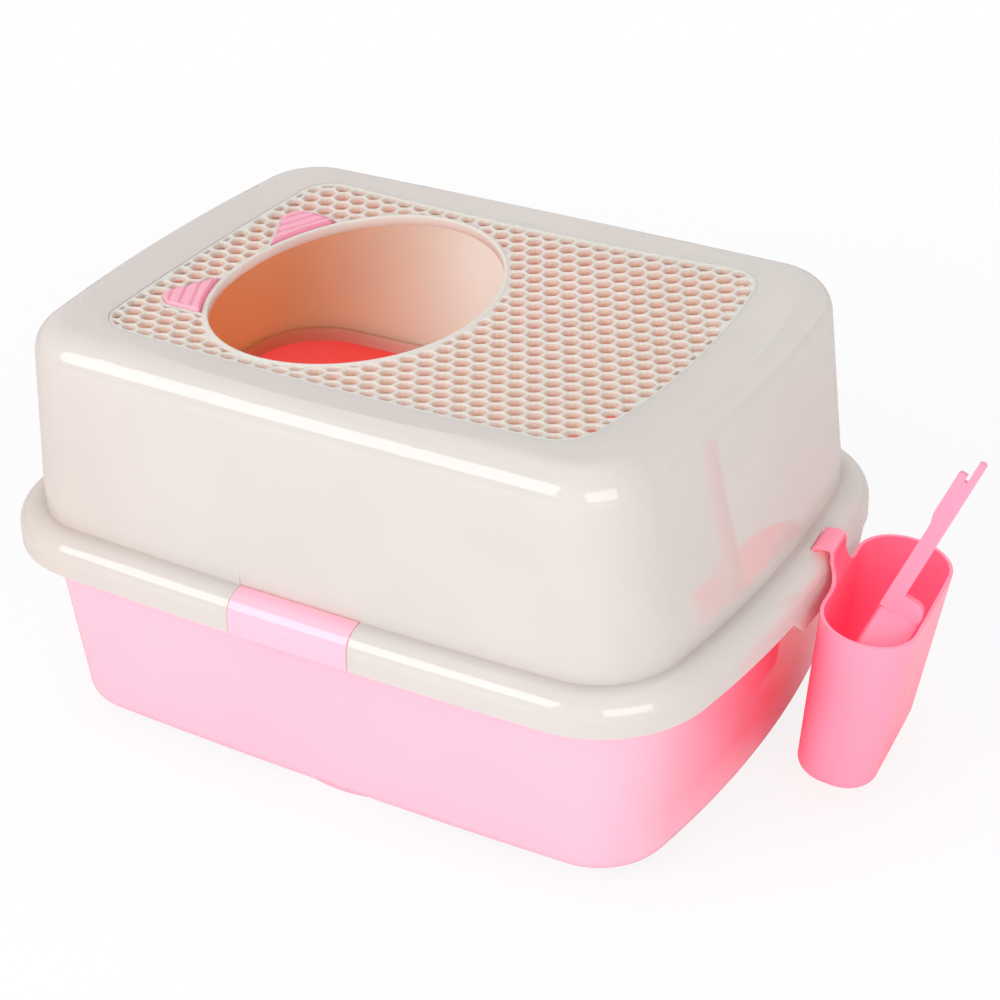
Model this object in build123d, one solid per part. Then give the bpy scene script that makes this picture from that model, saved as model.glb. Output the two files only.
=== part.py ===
from build123d import *
import os
from math import atan, cos, degrees, pi, radians, sin, sqrt

# Top entry litter box: a pan, a tall hood that drops over it, a dished honeycomb
# panel with an oval entry in the hood's roof, two ear pads beside the entry, and a
# scoop in a holder that hooks over the hood's flange.
# +Z is up, X runs along the length, the floor is z = 0 and the pan is centred on it.

# Hood skirt: the widest outline. Half sizes are taken at the middle of each side;
# a crown is how far that middle stands proud of the line between the corners.
skirt_half_x = 270.0
skirt_half_y = 191.1
skirt_corner = 78.0
end_crown = 22.0
side_crown = 5.6
skirt_bottom_z = 140.0
flange_top_z = 166.7
flange_round = 15.5
hood_wall = 3.0

# How far cutting blocks run past what they cut.
cut_margin = 20.0

# Rib under the flange that centres the hood inside the pan's rim.
rib_drop = 8.5
rib_wall = 2.0
rib_gap = 1.4
rib_shelf = 2.0

# Flange top, from the skirt in to the foot of the hood's wall.
flange_reach_x = 20.1
flange_reach_y = 17.4
crease_end_crown = 16.0
crease_side_crown = 6.6

# Hood walls lean in towards the roof.
hood_top_z = 306.5
roof_round = 22.0
wall_lean_x = 18.3
wall_lean_y = 4.8
roof_corner = 47.0
roof_end_crown = 12.0
roof_side_crown = 2.0

# Dished roof and honeycomb panel.
dish_z = 297.0
dish_radius_x = 3900.0
dish_radius_y = 1480.0
roof_band_x = 43.1
roof_band_y = 38.1
panel_corner = 27.0
panel_end_crown = 11.0
panel_side_crown = 0.1
panel_gap = 0.4
panel_thickness = 4.0
ledge_width = 5.0
ledge_thickness = 2.5
well_wall = 2.5
panel_border = 2.4

# Honeycomb: flat walls face X, points face Y.
cell_pitch = 13.24
cell_wall = 2.9
cell_phase_x = -3.3
cell_phase_y = -0.6
smallest_cell = 12.0

# Oval entry and its collar.
entry_x = -60.4
entry_half_x = 90.6
entry_half_y = 116.2
collar_width = 3.6
collar_rise = 0.6

# Ears: three corners in plan, for the ear on the +Y side.
ear_inner = (-150.0, 24.0)
ear_tip = (-176.5, 83.5)
ear_outer = (-122.0, 79.5)
ear_tip_round = 14.0
ear_corner_round = 2.5
ear_height = 5.5
ear_sink = 3.0
ear_gap = 0.4
ear_collar_gap = 1.6
ear_groove_pitch = 8.0
ear_groove_width = 1.4
ear_groove_depth = 1.2
ear_grooves = 4

# Pan: an open tray with a stepped rim that the flange rests on.
foot_height = 10.0
pan_rim_inset_x = 20.2
pan_rim_inset_y = 18.2
pan_corner = 60.0
pan_draft_x = 13.0
pan_draft_y = 13.0
pan_floor_corner = 50.0
pan_end_crown = 16.0
pan_side_crown = 4.8
pan_wall = 3.0
pan_bottom_round = 10.9
lip_gap = 0.6
lip_drop = 9.0

# Tabs of the pan that fill the notches in the middle of the long flanges.
tab_half_width = 45.5
tab_gap = 1.0
tab_end_wall = 3.0

# Stand pressed down from the pan's floor: a cross with round ends.
foot_inset = 11.4
cross_half_width_x = 95.0
cross_half_width_y = 60.0
cross_corner = 30.0
foot_round = 4.0

# Deeper length of skirt behind the scoop holder.
apron_shift = 3.6
apron_drop = 14.0
apron_half = 66.0
apron_ramp = 15.0

# Scoop holder: a tapered cup that hangs from a hook, turned to face the curved flange.
holder_y = 49.4
holder_turn = 5.7
cup_stand_off = 38.0
cup_mouth_z = 140.1
cup_lean = 8.0
cup_half_x = 32.9
cup_half_y = 68.0
cup_draft_x = 5.9
cup_draft_y = 5.6
cup_end_round = 32.0
cup_bottom_corner = 23.5
cup_length = 123.0
cup_bottom_round = 7.2
cup_wall = 2.4
cup_side_bow = 0.3
hook_width = 25.4
hook_thickness = 2.6
hook_shift = 1.8
hook_gap = 0.3
hook_stand_off = 3.0
hook_bend = 4.0
hook_tip_drop = 9.0
hook_rise = 14.0
hook_root = 6.0
hook_blend = 11.0
slot_inset = 10.1
slot_gap = 0.8

# Scoop: a small tray blade on a bar handle, standing in the holder.
scoop_x = 39.6
scoop_y = -16.2
scoop_z = 0.5
scoop_lean_out = 21.9
scoop_lean_back = 26.6
scoop_turn = 14.0
blade_half_width = 24.0
blade_length = 58.0
blade_depth = 28.0
blade_tip_depth = 9.0
blade_corner = 13.0
blade_round = 5.0
blade_wall = 2.2
neck_half_width = 5.6
neck_rise = 13.0
neck_corner = 8.0
shoulder_length = 24.0
slot_count = 5
slot_width = 4.0
handle_width = 11.0
handle_depth = 12.0
handle_length = 100.0
handle_hollow = 7.0
grip_length = 38.0
grip_swell = 2.0
grip_ramp = 7.0
tongue_length = 12.0
tongue_width = 5.2
tongue_notch = 4.0
tongue_round = 2.0


def outline(half_x, half_y, corner, crown_x, crown_y):
    """Rounded rectangle with gently bowed sides."""
    px = half_x - crown_x
    py = half_y - crown_y
    right = ThreePointArc((px, -py), (half_x, 0), (px, py))
    back = ThreePointArc((px, py), (0, half_y), (-px, py))
    left = ThreePointArc((-px, py), (-half_x, 0), (-px, -py))
    front = ThreePointArc((-px, -py), (0, -half_y), (px, -py))
    face = make_face([right, back, left, front])
    return fillet(face.vertices(), corner)


def skirt_outline(inset=0.0):
    return outline(
        skirt_half_x - inset, skirt_half_y - inset, skirt_corner - inset, end_crown, side_crown
    )


def crease_half():
    return skirt_half_x - flange_reach_x, skirt_half_y - flange_reach_y


def crease_outline(inset=0.0):
    half_x, half_y = crease_half()
    corner = skirt_corner - flange_reach_x - inset
    return outline(half_x - inset, half_y - inset, corner, crease_end_crown, crease_side_crown)


def roof_half():
    half_x, half_y = crease_half()
    return half_x - wall_lean_x, half_y - wall_lean_y


def roof_outline(inset=0.0):
    half_x, half_y = roof_half()
    corner = roof_corner - inset
    return outline(half_x - inset, half_y - inset, corner, roof_end_crown, roof_side_crown)


def panel_outline(inset=0.0):
    half_x, half_y = roof_half()
    return outline(
        half_x - roof_band_x - inset,
        half_y - roof_band_y - inset,
        panel_corner - inset,
        panel_end_crown,
        panel_side_crown,
    )


def above_dish(drop=0.0):
    """Everything above the dished roof surface, lowered by drop."""
    low = dish_z - drop
    reach = skirt_half_x
    rise = dish_radius_x - sqrt(dish_radius_x**2 - reach**2)
    ceiling = low + 4 * roof_round
    arc = ThreePointArc((-reach, low + rise), (0, low), (reach, low + rise))
    right = Line((reach, low + rise), (reach, ceiling))
    top = Line((reach, ceiling), (-reach, ceiling))
    left = Line((-reach, ceiling), (-reach, low + rise))
    profile = Plane.XZ * make_face([arc, right, top, left])
    sweep_angle = degrees(atan(1.3 * skirt_half_y / dish_radius_y))
    axis = Axis((0, 0, low + dish_radius_y), (1, 0, 0))
    profile = profile.rotate(axis, -sweep_angle)
    return revolve(profile, axis, 2 * sweep_angle)


def panel_column(inset):
    """Upright block of the panel's outline, through the roof."""
    low_z = flange_top_z
    return Pos(0, 0, low_z) * extrude(panel_outline(inset), hood_top_z - low_z + roof_round)


def flange_block(inset, top_z, rounding, bottom_z):
    """Solid block inside the skirt, rounded over at its top."""
    block = Pos(0, 0, bottom_z) * extrude(skirt_outline(inset), top_z - bottom_z)
    return fillet(block.faces().sort_by(Axis.Z)[-1].edges(), rounding)


def hood_body(inset, top_z, rounding):
    low = Pos(0, 0, flange_top_z - hood_wall) * crease_outline(inset)
    high = Pos(0, 0, top_z) * roof_outline(inset)
    body = loft([low, high])
    return fillet(body.faces().sort_by(Axis.Z)[-1].edges(), rounding)


def notch(gap):
    """Room for the pan's tabs, front and back, outside the hood's wall."""
    half_x, half_y = crease_half()
    reach = skirt_half_y - half_y + cut_margin
    height = flange_top_z - skirt_bottom_z + cut_margin
    box = Box(2 * (tab_half_width + gap), reach, height)
    y = half_y - gap + reach / 2
    z = skirt_bottom_z - cut_margin / 2 + height / 2
    return Pos(0, y, z) * box + Pos(0, -y, z) * box


def holder_x():
    """How far out the bowed skirt is beside the holder."""
    return skirt_half_x - end_crown * (holder_y / (skirt_half_y - side_crown)) ** 2


def holder_place():
    """Where the holder meets the skirt: x points away from the hood."""
    return Pos(holder_x(), holder_y) * Rot(0, 0, holder_turn)


def hook_slot():
    length = hook_width + 2 * slot_gap
    width = hook_thickness + 2 * slot_gap
    return holder_place() * Pos(-slot_inset, hook_shift, flange_top_z) * Box(width, length, 4 * hood_wall)


def centring_rib():
    """Ring that hangs from the flange, just inside the pan's rim."""
    low_z = flange_top_z - hood_wall - rib_drop
    outer = pan_outline(pan_wall + rib_gap, 0, 0, pan_corner)
    inner = pan_outline(pan_wall + rib_gap + rib_wall, 0, 0, pan_corner)
    shelf = crease_outline(hood_wall / 2) - inner
    ring = Pos(0, 0, low_z) * extrude(outer - inner, rib_drop + rib_shelf)
    return ring + Pos(0, 0, flange_top_z - hood_wall) * extrude(shelf, rib_shelf)


def apron():
    """Deeper piece of skirt on the holder's side, with sloping ends."""
    outer = skirt_outline()
    inner = skirt_outline(hood_wall)
    band = Pos(0, 0, skirt_bottom_z - apron_drop) * extrude(outer - inner, apron_drop)
    low = skirt_bottom_z - apron_drop
    middle = holder_y + apron_shift
    side = Polyline(
        (middle - apron_half, skirt_bottom_z),
        (middle - apron_half + apron_ramp, low),
        (middle + apron_half - apron_ramp, low),
        (middle + apron_half, skirt_bottom_z),
        close=True,
    )
    keep = extrude(Plane.YZ * make_face(side), 2 * skirt_half_x)
    return band & keep


def hood():
    shell = flange_block(0, flange_top_z, flange_round, skirt_bottom_z)
    shell += hood_body(0, hood_top_z, roof_round)
    shell -= above_dish()
    cavity = flange_block(
        hood_wall, flange_top_z - hood_wall, flange_round - hood_wall, skirt_bottom_z - 1
    )
    shell -= cavity
    shell -= hood_body(hood_wall, hood_top_z - hood_wall, roof_round - hood_wall) - above_dish(hood_wall)
    well = panel_column(-panel_gap - well_wall) & above_dish(panel_thickness + ledge_thickness)
    shell += well - above_dish()
    shell -= panel_column(-panel_gap) & above_dish(panel_thickness)
    shell -= panel_column(ledge_width)
    shell += centring_rib()
    shell += apron()
    shell -= notch(tab_gap)
    shell -= hook_slot()
    return shell


def entry_oval(offset):
    return Pos(entry_x, 0) * Ellipse(entry_half_x + offset, entry_half_y + offset)


def ear_outline(offset=0.0):
    """Ear pad on the +Y side, cut along the entry's collar."""
    face = make_face(Polyline(ear_inner, ear_tip, ear_outer, close=True))
    tip = face.vertices().sort_by(Axis.Y)[-1]
    face = fillet(tip, ear_tip_round)
    if offset:
        return offset_face(face, offset) - entry_oval(collar_width)
    face -= entry_oval(collar_width + ear_collar_gap)
    corners = face.vertices().sort_by_distance((*ear_tip, 0))[2:]
    return fillet(corners, ear_corner_round)


def offset_face(face, amount):
    return offset(face, amount, kind=Kind.ARC)


def cells():
    """Honeycomb openings, whole and cut, inside the panel's border."""
    field = panel_outline(panel_border) - entry_oval(collar_width)
    for ear in (ear_outline(), mirror(ear_outline(), Plane.XZ)):
        field -= offset_face(ear, panel_border)
    flat = cell_pitch - cell_wall
    hexagon = RegularPolygon(flat / 2, 6, major_radius=False, rotation=30)
    row_step = cell_pitch * sqrt(3) / 2
    half_x, half_y = roof_half()
    rows = int(half_y / row_step) + 1
    columns = int(half_x / cell_pitch) + 1
    openings = []
    for row in range(-rows, rows + 1):
        shift = cell_phase_x + (row % 2) * cell_pitch / 2
        for column in range(-columns, columns + 1):
            place = Pos(shift + column * cell_pitch, cell_phase_y + row * row_step)
            cut = field & (place * hexagon)
            openings += [face for face in cut.faces() if face.area > smallest_cell]
    return openings


def honeycomb_panel():
    low_z = flange_top_z
    slab = (panel_column(0) & above_dish(panel_thickness)) - above_dish()
    ring = entry_oval(collar_width) - entry_oval(0)
    collar = Pos(0, 0, low_z) * extrude(ring, hood_top_z - low_z)
    slab += (collar & above_dish(panel_thickness)) - above_dish(-collar_rise)
    slab -= Pos(0, 0, low_z) * extrude(entry_oval(0), hood_top_z)
    for side in (1, -1):
        seat = ear_outline(ear_gap)
        if side < 0:
            seat = mirror(seat, Plane.XZ)
        pocket = Pos(0, 0, low_z) * extrude(seat, hood_top_z)
        slab -= pocket & above_dish(ear_sink)
    return slab - [Pos(0, 0, low_z) * extrude(face, hood_top_z) for face in cells()]


def ear(side):
    pad = Pos(0, 0, flange_top_z) * extrude(ear_outline(), hood_top_z)
    pad = pad & above_dish(ear_sink)
    pad -= above_dish(ear_sink - ear_height)
    along = Vector(ear_outer[0] - ear_inner[0], ear_outer[1] - ear_inner[1]).normalized()
    across = Vector(-along.Y, along.X)
    middle = Vector((ear_outer[0] + ear_inner[0]) / 2, (ear_outer[1] + ear_inner[1]) / 2)
    angle = degrees(atan(along.Y / along.X))
    top = above_dish(ear_sink - ear_height + ear_groove_depth)
    for index in range(ear_grooves):
        centre = middle + across * ear_groove_pitch * (index + 1)
        bar = Box(2 * skirt_half_x, ear_groove_width, 4 * cut_margin)
        bar = Pos(centre.X, centre.Y, dish_z) * Rot(0, 0, angle) * bar
        pad -= bar & top
    return pad if side > 0 else mirror(pad, Plane.XZ)


def pan_half():
    return skirt_half_x - pan_rim_inset_x, skirt_half_y - pan_rim_inset_y


def pan_outline(inset, draft_x, draft_y, corner):
    half_x, half_y = pan_half()
    return outline(
        half_x - draft_x - inset, half_y - draft_y - inset, corner - inset, pan_end_crown, pan_side_crown
    )


def pan_block(inset, floor_z, top_z, rounding):
    low = Pos(0, 0, floor_z) * pan_outline(inset, pan_draft_x, pan_draft_y, pan_floor_corner)
    high = Pos(0, 0, top_z) * pan_outline(inset, 0, 0, pan_corner)
    body = loft([low, high])
    return fillet(body.faces().sort_by(Axis.Z)[0].edges(), rounding)


def stand(inset, low_z, rounding):
    """Round-ended cross below the pan's floor."""
    half_x, half_y = pan_half()
    reach_x = half_x - pan_draft_x - foot_inset
    reach_y = half_y - pan_draft_y - foot_inset
    along = SlotOverall(2 * reach_x, 2 * cross_half_width_y)
    across = SlotOverall(2 * reach_y, 2 * cross_half_width_x, rotation=90)
    cross = along + across
    meeting = Vector(cross_half_width_x, cross_half_width_y)
    inner = [v for v in cross.vertices() if (Vector(abs(v.X), abs(v.Y)) - meeting).length < 1]
    cross = fillet(inner, cross_corner)
    if inset:
        cross = offset(cross, -inset)
    pad = Pos(0, 0, low_z) * extrude(cross, foot_height + pan_wall / 2)
    return fillet(pad.faces().sort_by(Axis.Z)[0].edges(), rounding)


def tab():
    """Flange-shaped tabs of the pan, front and back."""
    half_x, half_y = crease_half()
    block = flange_block(0, flange_top_z, flange_round, skirt_bottom_z)
    inner = flange_block(
        hood_wall, flange_top_z - hood_wall, flange_round - hood_wall, skirt_bottom_z - 1
    )
    window = notch(0)
    ends = inner & window
    ends -= Box(2 * (tab_half_width - tab_end_wall), 4 * skirt_half_y, 4 * hood_top_z)
    return ((block - inner) & window) + ends


def pan():
    top_z = flange_top_z - hood_wall
    lip_z = top_z - lip_drop
    lip_inset = flange_round + lip_gap
    body = pan_block(0, foot_height, top_z, pan_bottom_round)
    lip = Pos(0, 0, lip_z) * extrude(skirt_outline(lip_inset), lip_drop)
    under = Pos(0, 0, lip_z) * extrude(skirt_outline(lip_inset + pan_wall), lip_drop - pan_wall)
    body += lip - under
    body += tab()
    body += stand(0, 0, foot_round)
    body -= pan_block(pan_wall, foot_height + pan_wall, top_z + 1, pan_bottom_round - pan_wall)
    body -= stand(pan_wall, pan_wall, foot_round / 2)
    return body


def cup_plane():
    """Mouth of the cup: its z runs up the cup's own axis."""
    return holder_place() * Pos(cup_stand_off, 0, cup_mouth_z) * Rot(0, cup_lean, 0)


def cup_block(inset, length, rounding, above):
    mouth = outline(
        cup_half_x - inset, cup_half_y - inset, cup_end_round - inset, cup_side_bow, cup_side_bow
    )
    bottom = outline(
        cup_half_x - cup_draft_x - inset,
        cup_half_y - cup_draft_y - inset,
        cup_bottom_corner - inset,
        cup_side_bow,
        cup_side_bow,
    )
    body = loft([Pos(0, 0, -length) * bottom, mouth])
    body = fillet(body.faces().sort_by(Axis.Z)[0].edges(), rounding)
    if above:
        body += extrude(mouth, above)
    return body


def rim_point(down):
    """Middle of the cup's wall beside the hood, some way down from the mouth."""
    reach = cup_half_x - cup_wall / 2 - cup_draft_x * down / cup_length
    lean = radians(cup_lean)
    x = cup_stand_off - reach * cos(lean) - down * sin(lean)
    return x, cup_mouth_z + reach * sin(lean) - down * cos(lean)


def hook():
    """Strap that rises out of the cup's wall, bends over the flange and ends in the slot."""
    top_z = flange_top_z + hook_gap + hook_thickness / 2
    rim = rim_point(0)
    foot = rim_point(hook_root)
    line = FilletPolyline(
        (-slot_inset, top_z - hook_tip_drop),
        (-slot_inset, top_z),
        (hook_stand_off, top_z),
        (hook_stand_off, rim[1] + hook_rise),
        rim,
        foot,
        radius=hook_bend,
    )
    wide = hook_width + 2 * hook_blend
    strap = extrude(Plane.XZ * trace(line, hook_thickness), wide / 2, both=True)
    low_z = foot[1] - hook_thickness
    base = Pos(0, (low_z + rim[1]) / 2) * Rectangle(wide, rim[1] - low_z)
    front = base + Pos(0, (low_z + top_z + hook_bend) / 2) * Rectangle(hook_width, top_z + hook_bend - low_z)
    inner = [v for v in front.vertices() if abs(v.Y - rim[1]) < 0.01 and abs(v.X) < hook_width / 2 + 0.01]
    front = fillet(inner, 0.95 * hook_blend)
    keep = extrude(Plane.YZ * front, 2 * cup_stand_off, both=True)
    return holder_place() * Pos(0, hook_shift, 0) * (strap & keep)


def scoop_holder():
    place = cup_plane()
    body = place * cup_block(0, cup_length, cup_bottom_round, 0)
    body += hook()
    inner = cup_block(cup_wall, cup_length - cup_wall, cup_bottom_round - cup_wall, hook_root)
    body -= place * inner
    return body


def scoop_plane():
    """Foot of the scoop's handle: its z runs up the handle."""
    lean_x = sin(radians(scoop_lean_out)) / cos(radians(scoop_lean_out))
    lean_y = sin(radians(scoop_lean_back)) / cos(radians(scoop_lean_back))
    along = Vector(lean_x, lean_y, 1).normalized()
    side = (Vector(1, 0, 0) - along * along.X).normalized()
    side = side.rotate(Axis((0, 0, 0), tuple(along)), scoop_turn)
    origin = (holder_x() + scoop_x, cup_centre_y() + scoop_y, cup_mouth_z + scoop_z)
    return Plane(origin, x_dir=side, z_dir=along)


def cup_centre_y():
    return holder_y + cup_stand_off * sin(radians(holder_turn))


def blade_outline(inset):
    """Blade seen from behind: x runs up it, y across; a narrow neck on wide shoulders."""
    neck = neck_half_width - inset
    half = blade_half_width - inset
    top = neck_rise - inset
    low = -blade_length + inset
    points = ((top, neck), (0, neck), (-shoulder_length, half), (low, half))
    face = make_face(Polyline(*points, *[(x, -y) for x, y in reversed(points)], close=True))
    tip = face.vertices().group_by(Axis.X)[0]
    face = fillet(tip, blade_corner - inset)
    shoulders = [v for v in face.vertices() if abs(v.X + shoulder_length) < 0.01]
    return fillet(shoulders, neck_corner - inset)


def blade():
    """Shallow tray: x is its depth, y its width, z runs up to the handle."""
    upright = Plane(origin=(0, 0, 0), x_dir=(0, 0, 1), z_dir=(1, 0, 0))
    tray = extrude(upright * blade_outline(0), blade_depth)
    tray = fillet(tray.faces().sort_by(Axis.X)[0].edges(), blade_round)
    hollow = extrude(upright * blade_outline(blade_wall), blade_depth)
    hollow = fillet(hollow.faces().sort_by(Axis.X)[0].edges(), blade_round - blade_wall)
    tray -= Pos(blade_wall, 0, 0) * hollow
    slope = Polyline(
        (blade_depth + 1, -shoulder_length),
        (blade_tip_depth, -blade_length - 1),
        (blade_depth + 1, -blade_length - 1),
        close=True,
    )
    tray -= extrude(Plane.XZ * make_face(slope), 2 * blade_half_width, both=True)
    shoulder = Pos(blade_depth, 0, neck_rise) * Rot(90, 0, 0)
    tray -= shoulder * extrude(corner_cut(neck_corner), 2 * blade_half_width, both=True)
    pitch = 2 * (blade_half_width - blade_wall) / (slot_count + 1)
    for index in range(slot_count):
        y = (index - (slot_count - 1) / 2) * pitch
        length = blade_length - shoulder_length - blade_corner
        slot = Pos(0, y, -shoulder_length - length / 2) * Box(4 * blade_wall, slot_width, length)
        tray -= slot
    return tray


def corner_cut(radius):
    """What rounding an outer corner at the origin takes away, on its -X, -Y side."""
    square = Pos(-radius / 2, -radius / 2) * Rectangle(radius, radius)
    return square - Pos(-radius, -radius) * Circle(radius)


def handle():
    """Channel-shaped bar with a swelled grip and a tongue past its end."""
    grip_z = handle_length - grip_length
    end_z = handle_length + tongue_length
    tongue_x = handle_width - tongue_width
    side = make_face(
        Polyline(
            (0, 0),
            (0, grip_z),
            (-grip_swell, grip_z + grip_ramp),
            (-grip_swell, handle_length),
            (tongue_x, handle_length),
            (tongue_x, end_z),
            (handle_width, end_z),
            (handle_width, 0),
            close=True,
        )
    )
    tips = [v for v in side.vertices() if v.Y > end_z - 0.01 or (v.X < 0 and v.Y > handle_length - 0.01)]
    side = fillet(tips, tongue_round)
    notch_cut = Pos(tongue_x - 1, handle_length) * Rectangle(2, 2 * tongue_notch)
    bar = extrude(Plane.XZ * (side - notch_cut), handle_depth / 2, both=True)
    hollow_length = grip_z - blade_wall
    hollow = Pos(handle_width, 0, hollow_length / 2) * Box(
        2 * handle_hollow, handle_depth - 2 * blade_wall, hollow_length
    )
    return bar - hollow


def scoop():
    return scoop_plane() * (blade() + handle())


def main():
    os.makedirs("parts", exist_ok=True)
    pieces = {
        "pan": pan(),
        "hood": hood(),
        "honeycomb_panel": honeycomb_panel(),
        "ear_back": ear(1),
        "ear_front": ear(-1),
        "scoop_holder": scoop_holder(),
        "scoop": scoop(),
    }
    for name, piece in pieces.items():
        export_step(piece, f"parts/{name}.step")


if __name__ == "__main__":
    main()
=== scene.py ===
import math

import bmesh
import bpy
from bpy.props import FloatProperty, FloatVectorProperty, PointerProperty, StringProperty
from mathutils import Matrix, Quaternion, Vector
from mathutils.geometry import delaunay_2d_cdt


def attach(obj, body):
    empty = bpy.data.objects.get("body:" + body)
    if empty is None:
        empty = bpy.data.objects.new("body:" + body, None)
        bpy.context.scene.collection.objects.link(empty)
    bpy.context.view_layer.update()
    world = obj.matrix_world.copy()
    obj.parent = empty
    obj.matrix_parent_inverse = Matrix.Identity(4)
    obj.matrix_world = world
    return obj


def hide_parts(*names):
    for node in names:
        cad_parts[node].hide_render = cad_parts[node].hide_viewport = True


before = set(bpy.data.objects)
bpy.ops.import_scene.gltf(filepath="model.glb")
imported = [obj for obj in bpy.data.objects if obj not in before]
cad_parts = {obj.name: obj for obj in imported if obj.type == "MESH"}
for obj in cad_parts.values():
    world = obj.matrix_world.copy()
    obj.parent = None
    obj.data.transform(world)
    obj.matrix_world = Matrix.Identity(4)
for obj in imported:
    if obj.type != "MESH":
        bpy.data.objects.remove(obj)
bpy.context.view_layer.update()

bl_info = {
    "name": "Top entry litter box",
    "version": (1, 0, 0),
    "blender": (4, 5, 0),
    "location": "View3D > Sidebar > Litter box",
    "description": "Dresses a packed top entry litter box in moulded polypropylene and lights it",
    "category": "Object",
}

MM = 0.001

# Where the hollow side of the hood begins, in metres: the plan line inside its wall, the top of
# its centring rib and the height below which the panel's ledge has not begun.
WALL_HALF, WALL_SQUARENESS, RIB_TOP, LEDGE_LOW = (0.2485, 0.1725), 6.0, 0.1664, 0.294
# A surface within this distance of edge-on to a hollow's middle is neither inside nor outside.
EDGE_ON = 0.002

# Moulded polypropylene: the size of its flow marks, sink marks and mould skin. A mould's own
# grain is nearer 0.1 mm, and is drawn coarser here so that it shows.
PP_IOR = 1.49
FLOW_MARK, SINK_MARK, MOULD_SKIN, SKIN_DEPTH = 90 * MM, 22 * MM, 0.9 * MM, 0.1 * MM

# Sizes of the honeycomb panel in millimetres.
DISH_LOW, DISH_RADIUS = 297.0, (3900.0, 1480.0)
PANEL_HALF, PANEL_BOW, PANEL_CORNER = (188.5, 130.8), 11.0, 27.0
PANEL_BORDER, PANEL_THICKNESS = 2.4, 4.0
PITCH, WEB, PHASE = 13.24, 2.9, (-3.3, -0.6)
CELL_ROUND, SMALLEST_CELL = 3.0, 12.0
ENTRY_X, ENTRY_HALF, COLLAR_WIDTH = -60.4, (90.6, 116.2), 3.6
EAR_INNER, EAR_TIP, EAR_OUTER, EAR_TIP_ROUND = (-150.0, 24.0), (-176.5, 83.5), (-122.0, 79.5), 14.0
EAR_STEPS = 12
SEAT_GAP, SEAT_STRIP, CELL_STRIP = 0.4, 0.25, 0.8

# Outward reach and drop of each ring down the edge of the panel, the entry and a cell.
EDGE_RINGS = ((-0.9, 0.0), (-0.45, 0.09), (-0.12, 0.35), (0.0, 0.8), (0.0, 3.4), (-0.4, 3.85), (-0.9, 4.0))
COLLAR_RINGS = (
    (2.9, 0.0), (2.8, -0.3), (2.5, -0.5), (2.0, -0.58), (1.2, -0.56), (0.55, -0.38), (0.15, 0.0), (0.0, 0.6),
    (0.0, 6.0), (0.5, 6.45), (1.3, 6.6), (2.9, 6.6),
)
CELL_RINGS = (
    (1.32, 0.0), (0.8, 0.11), (0.38, 0.44), (0.1, 0.93), (0.0, 1.4), (-0.8, 2.2), (-1.85, 3.3), (-1.6, 3.85),
    (1.32, 4.0),
)
SEAT_RINGS = ((0.3, 0.0), (0.09, 0.09), (0.0, 0.35), (0.0, 3.0))
# How much of the cells' painted shade, deepening down their walls, the collar takes on.
COLLAR_SHARE = 0.1
# Cells clear of the hood's ledge reach lower, below their round rims.
DEEP_CELLS, LEDGE_REACH = 1.4, 11.9
DEEP_RINGS = tuple((reach, drop if drop < 1 else 1 + (drop - 1) * DEEP_CELLS) for reach, drop in CELL_RINGS)

# Ear pads: how far they stand above and below the dish, and their ribs.
EAR_ABOVE, EAR_BELOW, EAR_COLLAR_GAP = 2.4, 2.9, 1.6
RIB_PITCH, GROOVE_DEPTH = 8.0, 1.1
EAR_RINGS = ((-1.5, 0.0), (-0.9, 0.12), (-0.4, 0.45), (-0.1, 0.95), (0.0, 1.6), (0.0, 5.3))
EAR_GRID, EAR_GRID_MARGIN, EAR_SOFTENED = 0.7, 0.5, 2.2

# How the plan between the rings is filled: only inside outlines, points nearer than this as one.
FILL_INSIDE, SAME_POINT = 1, 1e-5


def linear(code):
    """sRGB hex to linear colour with alpha."""
    values = [int(code[i : i + 2], 16) / 255 for i in (1, 3, 5)]
    return [v / 12.92 if v <= 0.04045 else ((v + 0.055) / 1.055) ** 2.4 for v in values] + [1.0]


def add(tree, kind, links=None, values=None, **settings):
    """Adds a node with its settings, socket values and incoming links."""
    node = tree.nodes.new(kind)
    for name, value in settings.items():
        setattr(node, name, value)
    for socket, value in (values or {}).items():
        node.inputs[socket].default_value = value
    for socket, source in (links or {}).items():
        tree.links.new(source, node.inputs[socket])
    return node


def blank(name):
    """A material with an output and nothing else."""
    material = bpy.data.materials.new(name)
    material.use_nodes = True
    tree = material.node_tree
    tree.nodes.clear()
    return material, tree, add(tree, "ShaderNodeOutputMaterial")


def facing_inward(tree, centre):
    """1 where a surface faces the middle of a hollow piece, 0 on its outside."""
    place = add(tree, "ShaderNodeNewGeometry")
    from_centre = add(
        tree,
        "ShaderNodeVectorMath",
        {0: place.outputs["Position"]},
        {1: centre},
        operation="SUBTRACT",
    )
    dot = add(
        tree,
        "ShaderNodeVectorMath",
        {0: from_centre.outputs[0], 1: place.outputs["True Normal"]},
        operation="DOT_PRODUCT",
    )
    return add(
        tree,
        "ShaderNodeMapRange",
        {"Value": dot.outputs["Value"]},
        {"From Min": EDGE_ON, "From Max": -EDGE_ON},
    ).outputs["Result"]


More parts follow.
